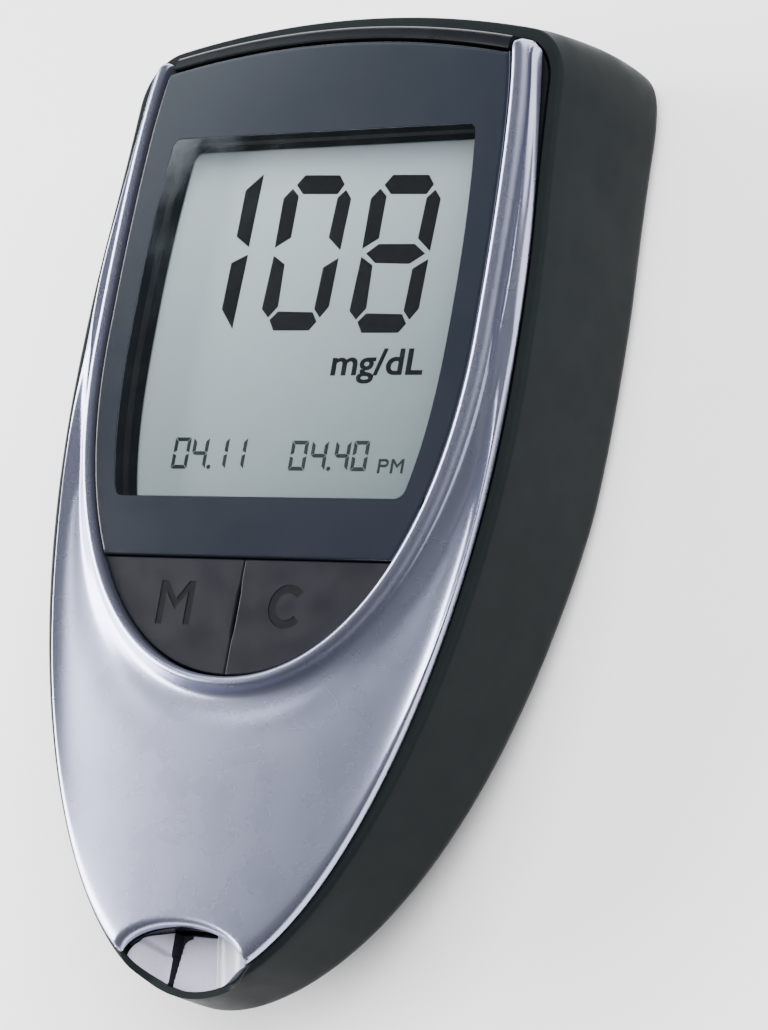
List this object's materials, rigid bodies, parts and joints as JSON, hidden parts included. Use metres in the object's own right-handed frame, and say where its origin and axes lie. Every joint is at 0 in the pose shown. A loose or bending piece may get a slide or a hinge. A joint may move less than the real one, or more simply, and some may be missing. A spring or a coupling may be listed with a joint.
{
  "type": "blood glucose meter",
  "caption": "Handheld blood glucose meter with a tapered shell, silver front frame, wide number display, press keys, strip port at the narrow end and a sliding battery door.",
  "frame": {"origin": "on the plane of the flat back, under the middle of the outline", "axes": "+Z out of the front face, +Y towards the display end, +X to the right of the display as it is read"},
  "size_m": [0.055, 0.1022, 0.0214],
  "materials": {
    "housing": "moulded charcoal plastic, fine satin grain",
    "silver_frame": "cool metallic silver paint, satin",
    "display_lens": "clear window in a gloss blue-grey printed border",
    "black_tape": "matt foam tape",
    "lcd_glass": "pale grey-green liquid crystal panel",
    "lcd_film": "diffuse reflector film",
    "ivory_plastic": "moulded, matt",
    "zebra_rubber": "striped conductive rubber",
    "board": "solder mask over fibreglass",
    "black_epoxy": "moulded epoxy",
    "bright_steel": "nickel-plated",
    "brown_ceramic": "fired ceramic",
    "gold_plate": "gold-plated springs",
    "port_plastic": "pale grey satin",
    "grey_rubber": "silicone rubber",
    "key_plastic": "blue-charcoal satin, marks moulded in",
    "label_film": "blank matt label film"
  },
  "bodies": {
    "case": {"rear_housing": "housing", "front_chassis": "housing", "front_frame": "silver_frame", "display_lens": "display_lens", "lens_tape": "black_tape", "lcd_glass": "lcd_glass", "lcd_reflector": "lcd_film", "lcd_frame": "ivory_plastic", "zebra_strip": "zebra_rubber", "main_board": "board", "controller_chip": "black_epoxy", "memory_chip": "black_epoxy", "crystal_can": "bright_steel", "buzzer": "black_epoxy", "capacitor_1": "brown_ceramic", "capacitor_2": "brown_ceramic", "resistor_1": "black_epoxy", "resistor_2": "black_epoxy", "strip_connector_body": "ivory_plastic", "strip_contact_1": "gold_plate", "strip_contact_2": "gold_plate", "strip_contact_3": "gold_plate", "strip_port_insert": "port_plastic", "keypad_mat": "grey_rubber", "coin_cell": "bright_steel", "battery_contact_positive": "bright_steel", "battery_contact_negative": "bright_steel", "back_label": "label_film", "case_screw_1": "bright_steel", "case_screw_2": "bright_steel", "case_screw_3": "bright_steel", "case_screw_4": "bright_steel", "board_screw_1": "bright_steel", "board_screw_2": "bright_steel"},
    "left_key_body": {"left_key": "key_plastic"},
    "right_key_body": {"right_key": "key_plastic"},
    "battery_door_body": {"battery_door": "housing"}
  },
  "joints": [
    {"name": "left_key_press", "type": "slide", "parent": "case", "child": "left_key_body", "axis": [0, 0, -1], "range_m": [0, 0.0006], "stiffness_N_per_m": 1500, "springref_m": -0.0003},
    {"name": "right_key_press", "type": "slide", "parent": "case", "child": "right_key_body", "axis": [0, 0, -1], "range_m": [0, 0.0006], "stiffness_N_per_m": 1500, "springref_m": -0.0003},
    {"name": "battery_door_slide", "type": "slide", "parent": "case", "child": "battery_door_body", "axis": [0, 1, 0], "range_m": [0, 0.008]}
  ]
}
